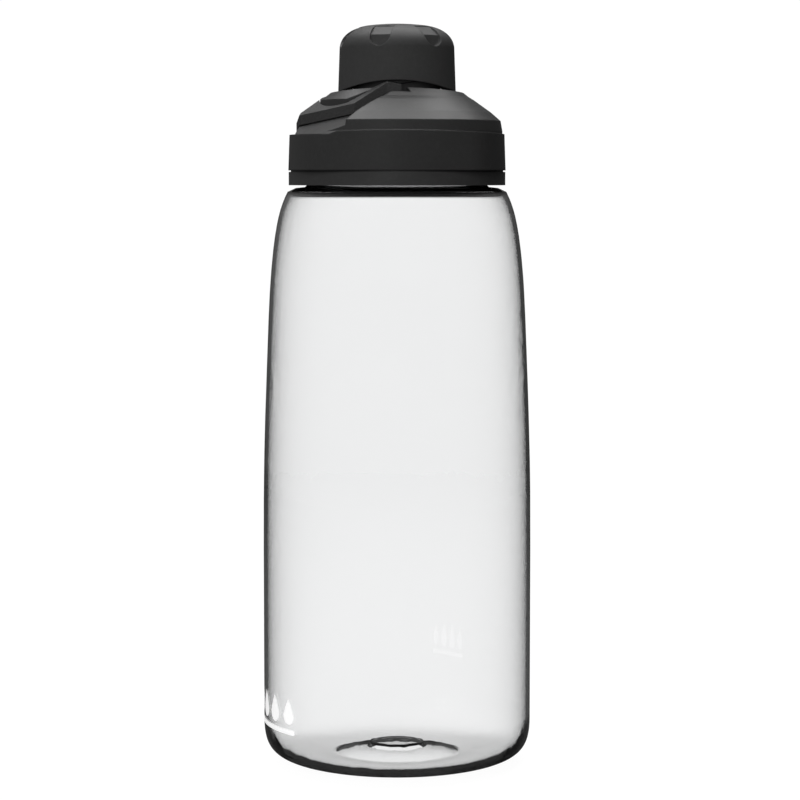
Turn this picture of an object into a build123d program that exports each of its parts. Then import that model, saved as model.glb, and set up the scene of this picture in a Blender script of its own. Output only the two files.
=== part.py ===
"""A one-litre clear sports bottle with a wide screw lid, a capped spout and a folding finger handle.

Millimetres. Z is the bottle's axis, the bottle stands on Z = 0 and the handle lies on the -X side.
Each sub-part is a separate solid, drawn closed, and is written to parts/ under its own name.
"""

import os
from math import cos, radians, sin

from build123d import *

# Bottle
body_radius = 44.8
wall = 1.2
base_thickness = 1.6
neck_bore_lip = 1.6
heel_height = 15.0
heel_reach = 22.8
heel_drop = 2.0
heel_turn = 5.8
foot_width = 2.0
straight_top = 72.0
brow_height = 191.8
shoulder_top = 193.4
neck_radius = 29.8
neck_wall = 2.4
neck_top = 206.1
nub_radius = 8.3
nub_height = 5.2

# Screw threads, all right-handed
thread_root_width = 2.0
thread_crest_width = 1.0
thread_bite = 0.3
thread_pitch = 4.0
lid_lead = 8.0
lid_starts = 2
lid_thread_depth = 1.4
neck_thread_bottom = 196.2
neck_thread_height = 7.0
cap_lead = 16.0
cap_starts = 4
cap_thread_depth = 1.0
spout_thread_bottom = 227.5
spout_thread_height = 7.0

# Lid: threaded liner with its flange, and the outer shell
lid_bottom = 194.0
flange_radius = 36.0
flange_top = 198.4
groove_depth = 0.7
skirt_bottom = 198.9
liner_bore = 31.6
liner_radius = 33.5
liner_roof = 207.8
liner_top = 209.4
skirt_apothem = 36.1
skirt_side_radius = 51.5
skirt_corner = 14.0
skirt_top = 211.8
skirt_dip = 1.0
skirt_taper = 2.0
band_radius = 35.0
band_top_radius = 34.4
band_top = 215.2
rim_radius = 19.95
rim_top = 225.8
rim_dip = 1.1
trough_floor = 222.4
shell_hole = 14.9
shell_fit = 0.1

# Spout
spout_bore = 12.4
spout_radius = 14.4
spout_top = 236.6

# Cap
cap_radius = 19.55
cap_top_radius = 19.0
cap_shoulder = 239.5
cap_height = 247.2
cap_dome_radius = 80.0
cap_dome_angle = 7.3
cap_rim = 228.2
cap_rim_dip = 3.6
cap_roof = 239.1
cap_hollow_radius = 13.5
cap_hollow_top = 244.0
cap_liner_bore = 15.9
cap_liner_radius = 17.2
cap_liner_bottom = 228.6
cap_liner_roof = 237.8
scoop_width = 7.0
scoop_bottom = 239.3
scoop_count = 6
scoop_angle = 11.5

# Seals
seal_inner = 27.6
seal_outer = 31.2
cap_seal_inner = 12.6
cap_seal_outer = 15.6
seal_gap = 0.1

# Handle, its pins and its recess
pivot_x = -1.0
pivot_z = 221.6
eye_radius = 1.9
pin_radius = 1.0
pin_fit = 0.08
pin_inside = 18.2
pin_outside = 23.6
slot_inside = 19.7
arm_inside = 20.05
arm_outside = 21.4
arm_tip = 1.5
handle_peak = (-3.3, -arm_outside)
handle_bend = (-13.9, -24.9)
handle_corner = (-32.2, -6.3)
handle_nose = -33.4
handle_thickness = 3.3
handle_gap = 0.45
terrace_gap = 0.3
tail_sweep = 6.0
pocket_length = 5.5
recess_floor = 210.6
terrace_radius = 25.5
terrace_end = -2.0

# The flat facets of the roof that the handle and the terrace share: (point, slope in X, slope in Y)
# of the -Y half. In turn: side, upper crest, lower crest, nose and the fall behind the peak.
roof_facets = [
    ((-13.9, -24.9, 220.4), 0.528, 0.332),
    ((-24.8, 0, 222.9), 0.32, 0),
    ((-24.8, 0, 222.9), 0.73, 0),
    ((-31.8, 0, 217.8), 2.06, 0),
    ((-3.3, 0, 227.6), -0.2, 0),
]

# The cone of the lid's shoulder, as (radius, height) corners from the band to the rim
cone = [
    (band_top_radius, band_top),
    (31.2, 218.0),
    (28.4, 220.0),
    (25.6, 222.0),
    (23.8, 223.1),
    (rim_radius, rim_top + 0.3),
]


def lathe(points):
    """Turn a closed outline of (radius, height) corners about the bottle's axis."""
    with BuildPart() as turned:
        with BuildSketch(Plane.XZ):
            with BuildLine():
                Polyline(*points, close=True)
            make_face()
        revolve(axis=Axis.Z)
    return turned.part


def saddle_cut(crest, dip, reach, span, far):
    """What lies beyond an arch along Y: its top is at the crest, and at X = reach it is a dip lower."""
    radius = (reach**2 + dip**2) / (2 * dip)
    low = crest - radius + (radius**2 - span**2) ** 0.5
    with BuildPart() as cut:
        with BuildSketch(Plane.XZ):
            with BuildLine():
                ThreePointArc((-span, low), (0, crest), (span, low))
                Polyline((span, low), (span, far), (-span, far), (-span, low))
            make_face()
        extrude(amount=60, both=True)
    return cut.part


def roof(lift):
    """The -Y half of what lies under all the roof's facets, raised by lift."""
    with BuildPart() as under:
        with BuildSketch(Plane.XY.offset(lid_bottom)):
            Rectangle(100, 50, align=(Align.CENTER, Align.MAX))
        extrude(amount=50)
        for (x, y, z), slope_x, slope_y in roof_facets:
            facet = Plane(
                origin=(x, y, z + lift), x_dir=(1, 0, slope_x), z_dir=(-slope_x, -slope_y, 1)
            )
            with BuildSketch(facet):
                Rectangle(300, 300)
            extrude(amount=-150, mode=Mode.INTERSECT)
    return under.part


def thread(root, bottom, height, depth, lead, starts):
    """Helical ridges on a cylinder; a negative depth gives ridges that stand inwards."""
    bite = thread_bite if depth > 0 else -thread_bite
    with BuildPart() as ridge:
        with BuildLine(Plane.XY.offset(bottom)):
            course = Helix(lead, height, root)
        with BuildSketch(Plane(origin=(root, 0, bottom), x_dir=(1, 0, 0), z_dir=(0, -1, 0))):
            with BuildLine():
                Polyline(
                    (-bite, -thread_root_width / 2),
                    (depth, -thread_crest_width / 2),
                    (depth, thread_crest_width / 2),
                    (-bite, thread_root_width / 2),
                    close=True,
                )
            make_face()
        sweep(path=course, is_frenet=True)
    with BuildPart() as ridges:
        with PolarLocations(0, starts):
            add(ridge.part)
    return ridges.part


def bottle_side(inset, floor):
    """Draw the bottle's side from its foot to the brow of its shoulder, moved inwards by inset."""
    side = body_radius - inset
    foot = (side - heel_reach, floor)
    brow = (side - 8.4, brow_height - 0.6 * inset)
    low = floor + heel_drop
    heel = Bezier(foot, (side - heel_turn, low), (side, low), (side, floor + heel_height))
    Line(heel @ 1, (side, straight_top))
    flank = Spline(
        (side, straight_top),
        (side - 0.45, 109.0),
        (side - 1.65, 142.5),
        (side - 3.2, 169.0),
        (side - 6.0, 185.8 - inset / 3),
        tangents=((0, 1), (-0.30, 1)),
    )
    TangentArc(flank @ 1, brow, tangent=flank % 1)
    return foot, brow


def soft_square(apothem):
    """A square plan whose sides are wide arcs and whose corners are rounded."""
    reach = skirt_side_radius - apothem
    corner = ((2 * skirt_side_radius**2 - reach**2) ** 0.5 - reach) / 2
    with BuildSketch() as plan:
        with BuildLine():
            for x, y in ((1, 0), (0, 1), (-1, 0), (0, -1)):
                start = (corner * (x + y), corner * (y - x))
                end = (corner * (x - y), corner * (y + x))
                ThreePointArc(start, (apothem * x, apothem * y), end)
        make_face()
        fillet(plan.vertices(), skirt_corner)
    return plan.sketch


# The bottle: one clear blow-moulded wall with its neck and thread
with BuildPart() as bottle_body:
    with BuildSketch(Plane.XZ):
        with BuildLine():
            foot, brow = bottle_side(0, 0)
            Polyline(
                brow,
                (body_radius - 11.2, shoulder_top - 0.3),
                (neck_radius + 0.8, shoulder_top),
                (neck_radius, shoulder_top + 0.8),
                (neck_radius, neck_top),
                (0, neck_top),
                (0, nub_height),
                (nub_radius, nub_height - 0.3),
                (nub_radius + 1.2, 2.6),
            )
            foot_inside = (foot[0] - foot_width, 0)
            ThreePointArc((nub_radius + 1.2, 2.6), (16.0, 1.6), foot_inside)
            Line(foot_inside, foot)
        make_face()
    revolve(axis=Axis.Z)
    with BuildSketch(Plane.XZ):
        with BuildLine():
            foot, brow = bottle_side(wall, base_thickness)
            bore = neck_radius - neck_wall
            Polyline(
                brow,
                (bore + neck_bore_lip, shoulder_top - wall - 0.9),
                (bore, shoulder_top - 0.8),
                (bore, neck_top),
                (0, neck_top),
                (0, nub_height + base_thickness),
                (nub_radius + 0.6, nub_height + base_thickness - 0.3),
                (nub_radius + 1.9, 4.2),
            )
            ThreePointArc((nub_radius + 1.9, 4.2), (17.0, 3.2), foot)
        make_face()
    revolve(axis=Axis.Z, mode=Mode.SUBTRACT)
    fillet(bottle_body.edges().group_by(Axis.Z)[-1], 0.5)
    add(
        thread(
            neck_radius, neck_thread_bottom, neck_thread_height, lid_thread_depth, lid_lead, lid_starts
        )
    )
bottle_body.part.label = "bottle_body"

# The lid's liner: flange, threaded sleeve, roof and spout in one moulding
with BuildPart() as lid_liner:
    add(
        lathe(
            [
                (liner_bore, lid_bottom),
                (flange_radius, lid_bottom),
                (flange_radius, flange_top),
                (flange_radius - groove_depth, flange_top),
                (flange_radius - groove_depth, skirt_bottom),
                (liner_radius, skirt_bottom),
                (liner_radius, liner_top),
                (spout_radius + 2.0, liner_top),
                (spout_radius, liner_top + 3.0),
                (spout_radius, spout_top),
                (spout_bore, spout_top),
                (spout_bore, liner_roof),
                (liner_bore, liner_roof),
            ]
        )
    )
    fillet(lid_liner.edges().group_by(Axis.Z)[-1], 0.5)
    add(
        thread(
            liner_bore,
            neck_thread_bottom + thread_pitch / 2,
            neck_thread_height - 1.4,
            -lid_thread_depth,
            lid_lead,
            lid_starts,
        )
    )
    add(
        thread(
            spout_radius, spout_thread_bottom, spout_thread_height, cap_thread_depth, cap_lead, cap_starts
        )
    )
lid_liner.part.label = "lid_liner"

# The flat seal inside the lid, which the neck's rim closes against
with BuildPart() as lid_seal:
    with BuildSketch(Plane.XY.offset(neck_top + seal_gap)):
        Circle(seal_outer)
        Circle(seal_inner, mode=Mode.SUBTRACT)
    extrude(amount=liner_roof - neck_top - seal_gap)
lid_seal.part.label = "lid_seal"

# The recess that the folded handle lies in: one half, then its mirror image
with BuildPart() as recess:
    slot_outside = arm_outside + handle_gap
    with BuildSketch(Plane.XY.offset(recess_floor)):
        with BuildLine():
            arc_end = (-((terrace_radius**2 - slot_inside**2) ** 0.5), -slot_inside)
            arc_middle = (terrace_radius * cos(radians(205)), terrace_radius * sin(radians(205)))
            ThreePointArc((-terrace_radius, 0), arc_middle, arc_end)
            Polyline(
                arc_end,
                (arm_tip + handle_gap, -slot_inside),
                (arm_tip + handle_gap, -slot_outside),
                (-1.6, -slot_outside),
                (-13.6, -28.7),
                (-17.5, -31.0),
                (-26.6, -42.0),
                (-50, -42.0),
                (-50, 0),
                (-terrace_radius, 0),
            )
        make_face()
    extrude(amount=50)
    add(roof(-handle_thickness - handle_gap), mode=Mode.SUBTRACT)
    with BuildSketch(Plane.XZ.offset(slot_outside)):
        with Locations((pivot_x, pivot_z)):
            Circle(tail_sweep)
        with Locations((pivot_x - pocket_length, pivot_z - eye_radius - handle_gap)):
            Rectangle(30, 30, align=(Align.MIN, Align.MIN), mode=Mode.INTERSECT)
    extrude(amount=slot_inside - slot_outside)
    mirror(about=Plane.XZ)

# The raised terrace between the cap and the handle
with BuildPart() as terrace:
    with BuildSketch(Plane.XY.offset(trough_floor - 4)):
        Circle(terrace_radius)
        with Locations((terrace_end, 0)):
            Rectangle(60, slot_inside, align=(Align.MAX, Align.MAX), mode=Mode.INTERSECT)
        Circle(rim_radius, mode=Mode.SUBTRACT)
    extrude(amount=20)
    add(roof(0), mode=Mode.INTERSECT)
    mirror(about=Plane.XZ)

# The lid's outer shell: soft-square skirt, plain band, cone and the trough round the spout
with BuildPart() as lid_shell:
    with BuildSketch(Plane.XY.offset(skirt_bottom)):
        add(soft_square(skirt_apothem))
    extrude(amount=skirt_top - skirt_bottom, taper=skirt_taper)
    add(saddle_cut(skirt_top, skirt_dip, skirt_apothem, 50, skirt_top + 10), mode=Mode.SUBTRACT)
    add(
        lathe(
            [
                (0, skirt_top - 4),
                (band_radius, skirt_top - 4),
                (band_radius, skirt_top),
                *cone,
                (0, rim_top + 0.3),
            ]
        )
    )
    add(saddle_cut(rim_top, rim_dip, rim_radius, 25, rim_top + 10), mode=Mode.SUBTRACT)
    add(recess.part, mode=Mode.SUBTRACT)
    add(terrace.part)
    add(
        lathe(
            [
                (0, skirt_bottom - 1),
                (liner_radius + shell_fit, skirt_bottom - 1),
                (liner_radius + shell_fit, liner_top + shell_fit),
                (31.6, liner_top + shell_fit),
                (26.0, 213.0),
                (19.0, 217.4),
                (shell_hole, 217.4),
                (shell_hole, trough_floor),
                (rim_radius, trough_floor),
                (rim_radius, rim_top + 5),
                (0, rim_top + 5),
            ]
        ),
        mode=Mode.SUBTRACT,
    )
    for side in (-1, 1):
        with BuildSketch(Plane.XZ.offset(side * pin_outside)):
            with Locations((pivot_x, pivot_z)):
                Circle(pin_radius + 0.02)
        extrude(amount=-side * (pin_outside - pin_inside), mode=Mode.SUBTRACT)
lid_shell.part.label = "lid_shell"

# The handle: a faceted plate with two arms, whose ends turn down to the pivot eyes
with BuildPart() as handle:
    inner = terrace_radius + terrace_gap
    with BuildSketch(Plane.XY.offset(lid_bottom)):
        with BuildLine():
            arc_end = (-((inner**2 - arm_inside**2) ** 0.5), -arm_inside)
            arc_middle = (inner * cos(radians(205)), inner * sin(radians(205)))
            ThreePointArc((-inner, 0), arc_middle, arc_end)
            Polyline(
                arc_end,
                (arm_tip, -arm_inside),
                (arm_tip, -arm_outside + 0.1),
                handle_peak,
                handle_bend,
                handle_corner,
                (handle_nose, 0),
                (-inner, 0),
            )
        make_face()
    extrude(amount=50)
    add(roof(0), mode=Mode.INTERSECT)
    add(roof(-handle_thickness), mode=Mode.SUBTRACT)
    with BuildPart(mode=Mode.PRIVATE) as shank:
        with BuildSketch(Plane.XZ.offset(arm_outside - 0.1)):
            with BuildLine():
                Polyline(
                    (pivot_x - eye_radius, pivot_z),
                    (pivot_x - pocket_length + 0.6, pivot_z + 3.4),
                    (arm_tip, pivot_z + 4.0),
                    (pivot_x + eye_radius, pivot_z),
                    close=True,
                )
            make_face()
            with Locations((pivot_x, pivot_z)):
                Circle(eye_radius)
        extrude(amount=arm_inside - arm_outside + 0.1)
    add(shank.part)
    with BuildSketch(Plane.XZ.offset(arm_outside + 1)):
        with Locations((pivot_x, pivot_z)):
            Circle(pin_radius + pin_fit)
    extrude(amount=-5, mode=Mode.SUBTRACT)
    mirror(about=Plane.XZ)
handle.part.label = "handle"

# Two steel pins that carry the handle
with BuildPart() as handle_pins:
    for side in (-1, 1):
        with BuildSketch(Plane.XZ.offset(side * pin_outside)):
            with Locations((pivot_x, pivot_z)):
                Circle(pin_radius)
        extrude(amount=-side * (pin_outside - pin_inside))
handle_pins.part.label = "handle_pins"

# The grip scoops that are cut into the shoulder of the cap, steep below and sloping above
with BuildPart() as scoop:
    with BuildSketch(Plane.YZ.offset(10)):
        with Locations((0, scoop_bottom + scoop_width / 2)):
            Circle(scoop_width / 2)
        with Locations((0, scoop_bottom + scoop_width)):
            Rectangle(scoop_width, scoop_width)
    extrude(amount=15)
    with BuildSketch(Plane.XZ):
        with BuildLine():
            Polyline(
                (17.5, scoop_bottom - 1),
                (16.6, 243.0),
                (12.3, 245.8),
                (12.3, 255),
                (25, 255),
                (25, scoop_bottom - 1),
                close=True,
            )
        make_face()
    extrude(amount=10, both=True, mode=Mode.INTERSECT)
with BuildPart() as scoops:
    with PolarLocations(0, scoop_count, start_angle=scoop_angle):
        add(scoop.part)

# The cap's outer shell, with its arched lower rim and grip scoops
with BuildPart() as cap_shell:
    with BuildSketch(Plane.YZ):
        with BuildLine():
            low = cap_rim - cap_rim_dip - 1
            Line((0, low), (cap_radius, low))
            Line((cap_radius, low), (cap_top_radius, cap_shoulder))
            crown = JernArc((0, cap_height), (1, 0), cap_dome_radius, -cap_dome_angle)
            Bezier((cap_top_radius, cap_shoulder), (18.6, 242.6), (16.2, 245.6), crown @ 1)
            Line((0, cap_height), (0, low))
        make_face()
    revolve(axis=Axis.Z)
    add(saddle_cut(cap_rim, cap_rim_dip, cap_radius, 25, cap_rim - 20), mode=Mode.SUBTRACT)
    add(
        lathe(
            [
                (0, low - 1),
                (cap_liner_radius + 0.05, low - 1),
                (cap_liner_radius + 0.05, cap_roof),
                (cap_hollow_radius, cap_roof),
                (cap_hollow_radius, cap_hollow_top),
                (0, cap_hollow_top),
            ]
        ),
        mode=Mode.SUBTRACT,
    )
    add(scoops.part, mode=Mode.SUBTRACT)
cap_shell.part.label = "cap_shell"

# The cap's threaded liner
with BuildPart() as cap_liner:
    add(
        lathe(
            [
                (cap_liner_bore, cap_liner_bottom),
                (cap_liner_radius, cap_liner_bottom),
                (cap_liner_radius, cap_roof - 0.1),
                (0, cap_roof - 0.1),
                (0, cap_liner_roof),
                (cap_liner_bore, cap_liner_roof),
            ]
        )
    )
    add(
        thread(
            cap_liner_bore,
            spout_thread_bottom + thread_pitch / 2,
            spout_thread_height - 2.5,
            -cap_thread_depth,
            cap_lead,
            cap_starts,
        )
    )
cap_liner.part.label = "cap_liner"

# The flat seal inside the cap, which closes on the spout's lip
with BuildPart() as cap_seal:
    with BuildSketch(Plane.XY.offset(spout_top + seal_gap)):
        Circle(cap_seal_outer)
        Circle(cap_seal_inner, mode=Mode.SUBTRACT)
    extrude(amount=cap_liner_roof - spout_top - seal_gap)
cap_seal.part.label = "cap_seal"

os.makedirs("parts", exist_ok=True)
for piece in (
    bottle_body,
    lid_liner,
    lid_seal,
    lid_shell,
    handle,
    handle_pins,
    cap_shell,
    cap_liner,
    cap_seal,
):
    export_step(piece.part, f"parts/{piece.part.label}.step")
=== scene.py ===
"""Looks of a clear one-litre sports bottle with a black screw lid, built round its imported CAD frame."""

import math

import bmesh
import bpy
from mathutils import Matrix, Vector


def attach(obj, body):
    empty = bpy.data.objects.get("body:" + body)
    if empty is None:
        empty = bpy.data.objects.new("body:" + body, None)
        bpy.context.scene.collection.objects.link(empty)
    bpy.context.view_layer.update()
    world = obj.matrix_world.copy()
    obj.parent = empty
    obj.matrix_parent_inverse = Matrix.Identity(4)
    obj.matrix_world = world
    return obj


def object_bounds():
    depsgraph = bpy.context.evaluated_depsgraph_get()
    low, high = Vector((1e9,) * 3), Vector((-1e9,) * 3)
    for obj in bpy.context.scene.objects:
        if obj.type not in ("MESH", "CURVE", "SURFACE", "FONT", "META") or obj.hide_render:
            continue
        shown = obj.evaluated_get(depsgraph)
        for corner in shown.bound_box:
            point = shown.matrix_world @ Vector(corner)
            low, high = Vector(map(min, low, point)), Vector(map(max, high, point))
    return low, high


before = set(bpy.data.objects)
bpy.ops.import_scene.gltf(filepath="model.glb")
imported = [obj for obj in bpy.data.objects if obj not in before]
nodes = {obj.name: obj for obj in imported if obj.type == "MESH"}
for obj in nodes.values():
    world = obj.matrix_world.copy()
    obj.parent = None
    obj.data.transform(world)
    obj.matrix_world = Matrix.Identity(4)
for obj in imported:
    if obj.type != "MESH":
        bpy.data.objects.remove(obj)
cad_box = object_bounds()

scene = bpy.context.scene
scene.view_settings.view_transform = "Standard"

MM = 0.001

# Light that reaches the eye straight or through clear plastic alone is the white backdrop's;
# whatever bounces first sees the dim studio
BACKDROP = 1.02
STUDIO_SKY = 0.28
STUDIO_HORIZON = 0.045
STUDIO_LEFT = 1.2
STUDIO_RIGHT = 0.45
FLOOR_GLOW = 0.97
FLOOR_GREY = 0.08
FLOOR_RADIUS = 0.9
FLOOR_SINK = 0.05 * MM

# The printed mark: ink on the wall, whose outer face is flush with the bottle's greatest radius
PRINT_RADIUS = cad_box[1][0]
INK_FILM = 0.04 * MM
INK_GLOW = 0.5


# ---------------------------------------------------------------- camera, light and floor


def add_camera():
    """A long lens at the lid's height, a little under one metre from the bottle's axis."""
    look_down = math.radians(4.705)
    data = bpy.data.cameras.new("camera")
    data.sensor_width = 36
    data.lens = 121.9
    camera = bpy.data.objects.new("camera", data)
    camera.location = (0.001, -0.904, 0.1967)
    camera.rotation_euler = (math.pi / 2 - look_down, 0, 0)
    scene.collection.objects.link(camera)
    scene.camera = camera


def area_light(name, place, target, size, power, shines):
    """A rectangular softbox, not seen by the camera or through the bottle; shines: seen in gloss."""
    data = bpy.data.lights.new(name, "AREA")
    data.shape = "RECTANGLE"
    data.size, data.size_y = size
    data.energy = power
    light = bpy.data.objects.new(name, data)
    light.location = place
    light.rotation_euler = (Vector(target) - Vector(place)).to_track_quat("-Z", "Y").to_euler()
    light.visible_camera = False
    light.visible_transmission = False
    light.visible_glossy = shines
    scene.collection.objects.link(light)


def math_node(tree, operation, first, second):
    """A Math node's result; each input is a number or another node's output."""
    node = tree.nodes.new("ShaderNodeMath")
    node.operation = operation
    for socket, value in zip(node.inputs, (first, second)):
        if isinstance(value, (int, float)):
            socket.default_value = value
        else:
            tree.links.new(value, socket)
    return node.outputs[0]


def straight_sight(tree):
    """1 for light seen directly or through clear plastic only, 0 for light that bounced."""
    path = tree.nodes.new("ShaderNodeLightPath")
    sight = math_node(tree, "MAXIMUM", path.outputs["Is Camera Ray"], path.outputs["Is Transmission Ray"])
    for depth in ("Glossy Depth", "Diffuse Depth"):
        bounced = math_node(tree, "LESS_THAN", path.outputs[depth], 0.5)
        sight = math_node(tree, "MULTIPLY", sight, bounced)
    return sight


def build_world():
    """A studio brighter above than below and brighter on the left, behind the white backdrop."""
    world = bpy.data.worlds.new("studio")
    scene.world = world
    world.use_nodes = True
    tree = world.node_tree
    background = tree.nodes["Background"]
    place = tree.nodes.new("ShaderNodeTexCoord")
    split = tree.nodes.new("ShaderNodeSeparateXYZ")
    tree.links.new(place.outputs["Generated"], split.inputs[0])
    sky = tree.nodes.new("ShaderNodeMapRange")
    sky.inputs["From Min"].default_value = -0.2
    sky.inputs["From Max"].default_value = 0.9
    sky.inputs["To Min"].default_value = STUDIO_HORIZON
    sky.inputs["To Max"].default_value = STUDIO_SKY
    tree.links.new(split.outputs["Z"], sky.inputs["Value"])
    side = tree.nodes.new("ShaderNodeMapRange")
    side.inputs["From Min"].default_value = -0.9
    side.inputs["From Max"].default_value = 0.7
    side.inputs["To Min"].default_value = STUDIO_LEFT
    side.inputs["To Max"].default_value = STUDIO_RIGHT
    tree.links.new(split.outputs["X"], side.inputs["Value"])
    studio = math_node(tree, "MULTIPLY", sky.outputs["Result"], side.outputs["Result"])
    mix = tree.nodes.new("ShaderNodeMix")
    tree.links.new(straight_sight(tree), mix.inputs["Factor"])
    tree.links.new(studio, mix.inputs["A"])
    mix.inputs["B"].default_value = BACKDROP
    tree.links.new(mix.outputs["Result"], background.inputs["Strength"])
    background.inputs["Color"].default_value = (1, 1, 1, 1)


def build_floor():
    """A pale round floor that glows as white as the backdrop, with a faint contact shadow."""
    mesh = bpy.data.meshes.new("floor")
    bm = bmesh.new()
    bmesh.ops.create_circle(bm, cap_ends=True, radius=FLOOR_RADIUS, segments=96)
    bm.to_mesh(mesh)
    bm.free()
    floor = bpy.data.objects.new("floor", mesh)
    floor.location.z = -FLOOR_SINK
    scene.collection.objects.link(floor)
    material = bpy.data.materials.new("pale_floor")
    material.use_nodes = True
    tree = material.node_tree
    paper = tree.nodes["Principled BSDF"]
    paper.inputs["Base Color"].default_value = (FLOOR_GREY, FLOOR_GREY, FLOOR_GREY, 1)
    paper.inputs["Roughness"].default_value = 1.0
    paper.inputs["Specular IOR Level"].default_value = 0.0
    paper.inputs["Emission Color"].default_value = (1, 1, 1, 1)
    glow = math_node(tree, "MULTIPLY", straight_sight(tree), FLOOR_GLOW)
    tree.links.new(glow, paper.inputs["Emission Strength"])
    mesh.materials.append(material)


add_camera()
build_world()
build_floor()
area_light("overhead", (0.0, 0.15, 0.95), (0, 0, 0.2), (1.0, 0.9), 8.0, True)
area_light("front", (-0.3, -1.25, 0.5), (0, 0, 0.2), (0.5, 0.8), 12.0, False)


# ---------------------------------------------------------------- materials


def new_material(name):
    """A material with its node tree and its Principled shader."""
    material = bpy.data.materials.new(name)
    material.use_nodes = True
    return material, material.node_tree, material.node_tree.nodes["Principled BSDF"]


def ramp(tree, value, stops):
    """A grey ramp through (position, level) stops."""
    node = tree.nodes.new("ShaderNodeValToRGB")
    elements = node.color_ramp.elements
    while len(elements) < len(stops):
        elements.new(0.5)
    for element, (position, level) in zip(elements, stops):
        element.position = position
        element.color = (level, level, level, 1)
    tree.links.new(value, node.inputs[0])
    return node.outputs["Color"]


def noise(tree, scale, detail=2.0, distortion=0.0):
    """Noise in object space; scale is in features per metre."""
    place = tree.nodes.new("ShaderNodeTexCoord")
    node = tree.nodes.new("ShaderNodeTexNoise")
    node.inputs["Scale"].default_value = scale
    node.inputs["Detail"].default_value = detail
    node.inputs["Distortion"].default_value = distortion
    tree.links.new(place.outputs["Object"], node.inputs["Vector"])
    return node.outputs["Fac"]


def bump(tree, height, distance, strength, normal=None):
    """A bump of a height pattern, on top of another normal if there is one."""
    node = tree.nodes.new("ShaderNodeBump")
    node.inputs["Strength"].default_value = strength
    node.inputs["Distance"].default_value = distance
    tree.links.new(height, node.inputs["Height"])
    if normal:
        tree.links.new(normal, node.inputs["Normal"])
    return node.outputs["Normal"]


def round_edges(tree, radius):
    """A normal that rounds sharp edges off to a radius in metres."""
    node = tree.nodes.new("ShaderNodeBevel")
    node.samples = 6
    node.inputs["Radius"].default_value = radius
    return node.outputs["Normal"]


def mix_colour(tree, factor, first, second):
    """A blend of two colours by a pattern; each is a tuple or another node's output."""
    node = tree.nodes.new("ShaderNodeMix")
    node.data_type = "RGBA"
    tree.links.new(factor, node.inputs["Factor"])
    for socket, colour in ((node.inputs[6], first), (node.inputs[7], second)):
        if isinstance(colour, tuple):
            socket.default_value = (*colour, 1)
        else:
            tree.links.new(colour, socket)
    return node.outputs[2]


def stipple(tree, normal):
    """A fine raised-dot texture, for a surface that fingers push."""
    place = tree.nodes.new("ShaderNodeTexCoord")
    dots = tree.nodes.new("ShaderNodeTexVoronoi")
    dots.inputs["Scale"].default_value = 1100
    tree.links.new(place.outputs["Object"], dots.inputs["Vector"])
    height = ramp(tree, dots.outputs["Distance"], [(0.1, 1.0), (0.4, 0.0)])
    return bump(tree, height, 0.00012, 0.6, normal)


def moulded_black(name, level, rough, grain, edge, stippled=False):
    """Black moulded plastic: spark-eroded grain, faint flow marks, dust and edges rounded to a radius."""
    material, tree, shader = new_material(name)
    flow = noise(tree, 60, 4, 0.6)
    dust = ramp(tree, noise(tree, 900, 3), [(0.45, 0.0), (0.75, 1.0)])
    tone = mix_colour(tree, flow, (level * 0.85,) * 3, (level * 1.15,) * 3)
    tone = mix_colour(tree, math_node(tree, "MULTIPLY", dust, 0.12), tone, (level * 2.2,) * 3)
    tree.links.new(tone, shader.inputs["Base Color"])
    roughness = tree.nodes.new("ShaderNodeMapRange")
    roughness.inputs["To Min"].default_value = rough - 0.05
    roughness.inputs["To Max"].default_value = rough + 0.06
    tree.links.new(noise(tree, 140, 5), roughness.inputs["Value"])
    tree.links.new(roughness.outputs["Result"], shader.inputs["Roughness"])
    normal = round_edges(tree, edge)
    normal = bump(tree, noise(tree, 5200, 2), 0.00002, grain, normal)
    if stippled:
        normal = stipple(tree, normal)
    tree.links.new(normal, shader.inputs["Normal"])
    return material


def height_band(tree, low, high, blur):
    """1 between two heights in metres, fading to 0 over blur on each side."""
    place = tree.nodes.new("ShaderNodeTexCoord")
    split = tree.nodes.new("ShaderNodeSeparateXYZ")
    tree.links.new(place.outputs["Object"], split.inputs[0])
    rise = tree.nodes.new("ShaderNodeMapRange")
    rise.inputs["From Min"].default_value = low - blur
    rise.inputs["From Max"].default_value = low
    fall = tree.nodes.new("ShaderNodeMapRange")
    fall.inputs["From Min"].default_value = high + blur
    fall.inputs["From Max"].default_value = high
    for node in (rise, fall):
        tree.links.new(split.outputs["Z"], node.inputs["Value"])
    return math_node(tree, "MULTIPLY", rise.outputs["Result"], fall.outputs["Result"])


def clear_plastic():
    """Clear blow-moulded plastic: faint sink waves, hairline scuffs and a painted reflection of the black
    lid, a dark band just under the lid.
    """
    material, tree, shader = new_material("clear_plastic")
    flow = noise(tree, 14, 2)
    tone = mix_colour(tree, flow, (0.975, 0.978, 0.98), (0.99, 0.992, 0.993))
    # Painted reflection: a dark band in the base colour just under the lid stands in for the black lid
    # mirrored in the clear neck
    lid_reflection_low = 191.6 * MM
    lid_reflection_high = 193.5 * MM
    lid_reflection_fade = 0.9 * MM
    lid_reflection = height_band(tree, lid_reflection_low, lid_reflection_high, lid_reflection_fade)
    tone = mix_colour(tree, lid_reflection, tone, (0.16, 0.16, 0.165))
    tree.links.new(tone, shader.inputs["Base Color"])
    shader.inputs["Transmission Weight"].default_value = 1.0
    shader.inputs["IOR"].default_value = 1.5
    scuff = ramp(tree, noise(tree, 260, 6, 1.4), [(0.60, 0.0), (0.78, 1.0)])
    roughness = tree.nodes.new("ShaderNodeMapRange")
    roughness.inputs["To Min"].default_value = 0.0
    roughness.inputs["To Max"].default_value = 0.05
    tree.links.new(scuff, roughness.inputs["Value"])
    tree.links.new(roughness.outputs["Result"], shader.inputs["Roughness"])
    tree.links.new(bump(tree, noise(tree, 28, 1), 0.0004, 0.12), shader.inputs["Normal"])
    return material


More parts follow.
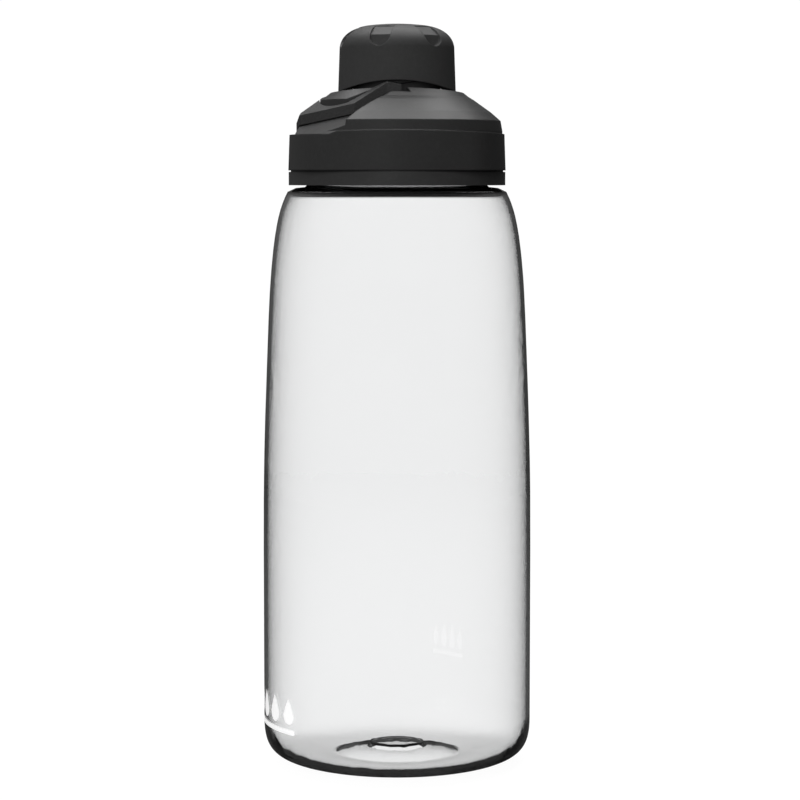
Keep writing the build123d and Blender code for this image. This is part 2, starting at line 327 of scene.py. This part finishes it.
def silicone():
    """Soft grey seal rubber with a fine matte skin."""
    material, tree, shader = new_material("silicone")
    tone = mix_colour(tree, noise(tree, 180, 4), (0.42, 0.44, 0.45), (0.52, 0.54, 0.55))
    tree.links.new(tone, shader.inputs["Base Color"])
    shader.inputs["Roughness"].default_value = 0.55
    shader.inputs["Subsurface Weight"].default_value = 0.1
    tree.links.new(bump(tree, noise(tree, 2400, 2), 0.00002, 0.4), shader.inputs["Normal"])
    return material


def drawn_steel():
    """Plain drawn steel wire, unevenly polished."""
    material, tree, shader = new_material("drawn_steel")
    shader.inputs["Base Color"].default_value = (0.62, 0.62, 0.63, 1)
    shader.inputs["Metallic"].default_value = 1.0
    roughness = tree.nodes.new("ShaderNodeMapRange")
    roughness.inputs["To Min"].default_value = 0.22
    roughness.inputs["To Max"].default_value = 0.4
    tree.links.new(noise(tree, 1500, 3), roughness.inputs["Value"])
    tree.links.new(roughness.outputs["Result"], shader.inputs["Roughness"])
    return material


def dress(node, material):
    """Give a CAD node its material."""
    slots = nodes[node].data.materials
    slots.clear()
    slots.append(material)


dress("bottle_body", clear_plastic())
dress("lid_shell", moulded_black("lid_plastic", 0.024, 0.42, 0.5, 0.6 * MM))
dress("lid_liner", moulded_black("liner_plastic", 0.034, 0.40, 0.4, 0.3 * MM))
dress("handle", moulded_black("handle_plastic", 0.030, 0.5, 0.6, 0.3 * MM, stippled=True))
dress("cap_shell", moulded_black("cap_plastic", 0.032, 0.55, 0.5, 0.5 * MM))
dress("cap_liner", moulded_black("cap_liner_plastic", 0.020, 0.38, 0.4, 0.3 * MM))
rubber = silicone()
for seal in ("lid_seal", "cap_seal"):
    dress(seal, rubber)
dress("handle_pins", drawn_steel())


# ---------------------------------------------------------------- printed mark


def new_piece(name, bm, material, body):
    """Make a mesh piece with its own material that rides on a body."""
    mesh = bpy.data.meshes.new(name)
    bm.to_mesh(mesh)
    bm.free()
    piece = bpy.data.objects.new(name, mesh)
    scene.collection.objects.link(piece)
    mesh.materials.append(material)
    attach(piece, body)


def drop_columns(radius):
    """A water drop as (along, low, high) columns: a round belly and a pointed top."""
    point_height = 1.9 * radius
    point_sharpness = 0.85
    columns = []
    count = 16
    for step in range(count + 1):
        along = -radius * math.cos(math.pi * step / count)
        low = -math.sqrt(max(radius**2 - along**2, 0))
        high = point_height * (1 - abs(along) / radius) ** point_sharpness
        columns.append((along, low, high))
    return columns


def bar_columns(width, height):
    """A long bar with rounded ends as (along, low, high) columns."""
    columns = []
    count = 90
    for step in range(count + 1):
        along = width * (step / count - 0.5)
        past = max(abs(along) - (width - height) / 2, 0)
        half = math.sqrt(max(height**2 / 4 - past**2, 0))
        columns.append((along, -half, half))
    return columns


def print_patch(bm, columns, turn, height):
    """Lay a flat shape on the wall at a turn about the axis, as a thin closed film of ink."""
    skins = []
    for skin in (PRINT_RADIUS - INK_FILM, PRINT_RADIUS):
        rows = []
        for along, low, high in columns:
            angle = turn - along / PRINT_RADIUS
            x, y = skin * math.cos(angle), skin * math.sin(angle)
            rows.append((bm.verts.new((x, y, height + low)), bm.verts.new((x, y, height + high))))
        skins.append(rows)
    inner, outer = skins
    for index in range(len(columns) - 1):
        after = index + 1
        bm.faces.new((inner[index][0], inner[after][0], inner[after][1], inner[index][1]))
        bm.faces.new((outer[index][0], outer[index][1], outer[after][1], outer[after][0]))
        for edge in (0, 1):
            bm.faces.new((inner[index][edge], outer[index][edge], outer[after][edge], inner[after][edge]))
    for end in (0, -1):
        bm.faces.new((inner[end][0], inner[end][1], outer[end][1], outer[end][0]))


def white_ink():
    """Screen-printed white ink with a slightly uneven film; it glows a little, as if fully lit."""
    material, tree, shader = new_material("white_ink")
    tone = mix_colour(tree, noise(tree, 700, 4), (0.80, 0.80, 0.80), (0.95, 0.95, 0.95))
    tree.links.new(tone, shader.inputs["Base Color"])
    shader.inputs["Roughness"].default_value = 0.5
    shader.inputs["Emission Color"].default_value = (1, 1, 1, 1)
    shader.inputs["Emission Strength"].default_value = INK_GLOW
    tree.links.new(bump(tree, noise(tree, 3000, 2), 0.00001, 0.3), shader.inputs["Normal"])
    return material


def build_print():
    """A plain printed row of water drops over a line, from under the handle towards the front."""
    middle = math.radians(200)
    drop_spacing = math.radians(11.5)
    drop_height = 20.6 * MM
    line_height = 15.2 * MM
    line_length = 34 * MM
    line_width = 1.6 * MM
    bm = bmesh.new()
    for step in (-1.5, -0.5, 0.5, 1.5):
        drop_radius = (3.3 - 0.3 * abs(step)) * MM
        print_patch(bm, drop_columns(drop_radius), middle + step * drop_spacing, drop_height)
    print_patch(bm, bar_columns(line_length, line_width), middle, line_height)
    bmesh.ops.remove_doubles(bm, verts=bm.verts, dist=0.001 * MM)
    bmesh.ops.recalc_face_normals(bm, faces=bm.faces)
    new_piece("printed_mark", bm, white_ink(), "bottle")


build_print()
